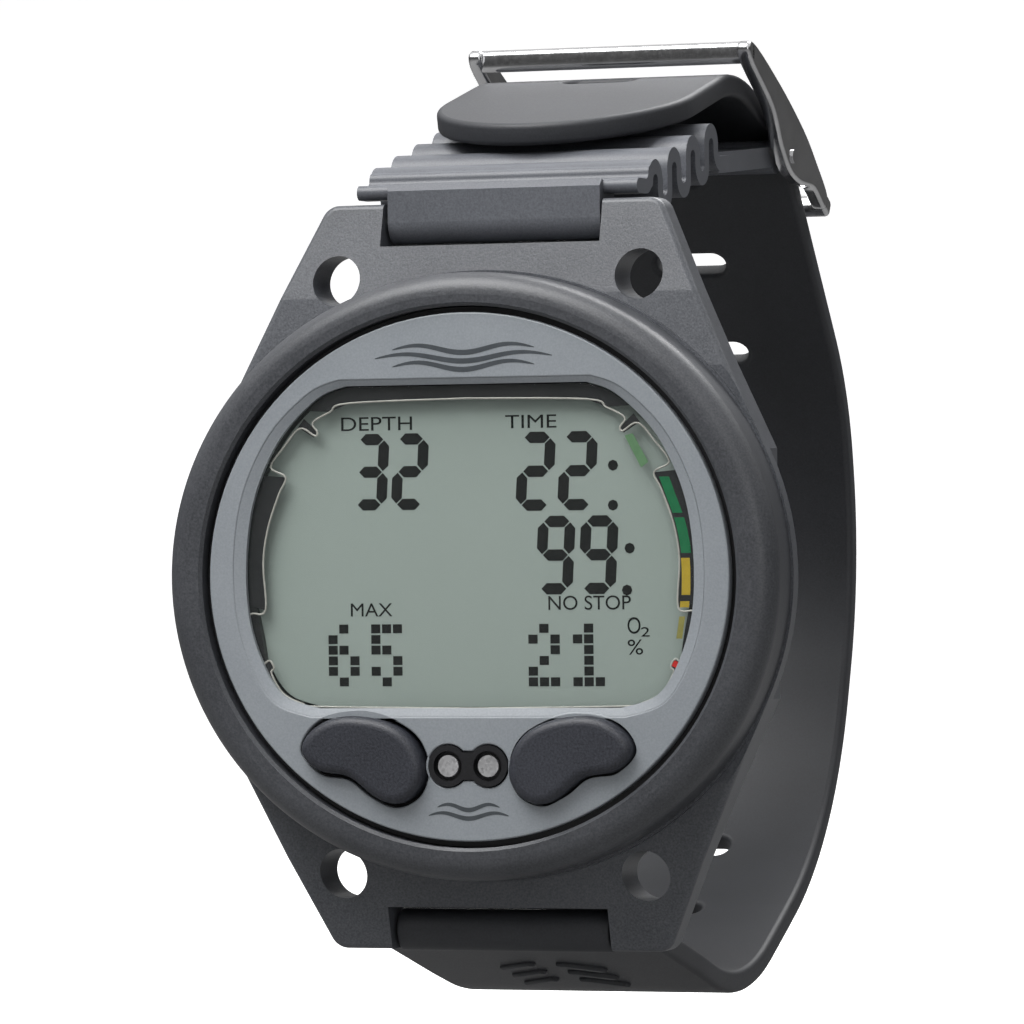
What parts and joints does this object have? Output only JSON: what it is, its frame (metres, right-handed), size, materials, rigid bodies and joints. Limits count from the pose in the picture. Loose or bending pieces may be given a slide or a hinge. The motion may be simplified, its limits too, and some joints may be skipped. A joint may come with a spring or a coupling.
{
  "type": "wrist dive computer",
  "caption": "Wrist dive computer with an oval bezel, segment display, two push buttons, water contacts and a buckled rubber strap with bellows.",
  "frame": {"origin": "centre of the case back, where it bears on the wrist", "axes": "+Z to 12 o'clock, -Y out of the face towards the reader, +X to the reader's right"},
  "size_m": [0.0692, 0.0951, 0.1061],
  "materials": {
    "case_plastic": "fine spark-eroded charcoal grey plastic",
    "black_plastic": "black satin plastic",
    "silver_mask": "silver-grey painted plastic",
    "clear_lens": "clear polished plastic",
    "lcd_glass": "grey-green reflective liquid crystal glass",
    "white_plastic": "white moulded plastic",
    "board": "green solder mask",
    "chip_plastic": "black epoxy",
    "button_rubber": "fine-grained near-black elastomer",
    "seal_rubber": "black nitrile",
    "strap_rubber": "matt charcoal polyurethane",
    "steel": "polished stainless steel",
    "brass": "bare brass"
  },
  "bodies": {
    "case": {"lug_frame": "case_plastic", "bezel_ring": "case_plastic", "face_mask": "silver_mask", "front_housing": "black_plastic", "display_window": "clear_lens", "lcd_mask": "black_plastic", "lcd_panel": "lcd_glass", "lcd_carrier": "white_plastic", "zebra_strips": "seal_rubber", "circuit_board": "board", "board_components": "chip_plastic", "key_switches": "steel", "right_button_spring": "steel", "right_button_seal": "seal_rubber", "right_water_contact": "steel", "left_button_spring": "steel", "left_button_seal": "seal_rubber", "left_water_contact": "steel", "contact_surround": "black_plastic", "rear_case": "case_plastic", "case_gasket": "seal_rubber", "coin_cell": "steel", "battery_contact": "steel", "pressure_sensor": "steel", "sensor_seal": "seal_rubber", "buzzer": "brass", "case_screws": "steel", "bezel_screws": "steel", "upper_strap_bar": "steel", "upper_strap_bar_tips": "steel"},
    "right_push": {"right_button": "button_rubber", "right_button_clip": "steel"},
    "left_push": {"left_button": "button_rubber", "left_button_clip": "steel"},
    "battery_door": {"battery_cap": "black_plastic", "battery_cap_seal": "seal_rubber", "cell_contact_spring": "steel"},
    "upper_strap": {"short_strap": "strap_rubber"},
    "buckled_strap": {"buckle_frame": "steel", "buckle_pin": "steel", "long_strap": "strap_rubber", "long_strap_end": "strap_rubber", "lower_strap_bar": "steel", "lower_strap_bar_tips": "steel"},
    "tongue": {"buckle_tongue": "steel"}
  },
  "joints": [
    {"name": "strap_swing", "type": "hinge", "parent": "case", "child": "upper_strap", "pos_m": [0, -0.0104, 0.0381], "axis": [1, 0, 0], "range_deg": [0, 20]},
    {"name": "buckle_swing", "type": "hinge", "parent": "upper_strap", "child": "buckled_strap", "pos_m": [0, 0.041, 0.0469], "axis": [1, 0, 0], "range_deg": [0, 1]},
    {"name": "tongue_swing", "type": "hinge", "parent": "buckled_strap", "child": "tongue", "pos_m": [0, 0.041, 0.0469], "axis": [1, 0, 0], "range_deg": [0, 8]},
    {"name": "right_button_press", "type": "slide", "parent": "case", "child": "right_push", "axis": [0, 1, 0], "range_m": [0, 0.0008], "stiffness_N_per_m": 2000, "springref_m": -0.0005, "deforming": ["right_button_spring"]},
    {"name": "left_button_press", "type": "slide", "parent": "case", "child": "left_push", "axis": [0, 1, 0], "range_m": [0, 0.0008], "stiffness_N_per_m": 2000, "springref_m": -0.0005, "deforming": ["left_button_spring"]},
    {"name": "battery_cap_turn", "type": "hinge", "parent": "case", "child": "battery_door", "pos_m": [0, 0, 0], "axis": [0, -1, 0], "range_deg": [0, 60]}
  ]
}
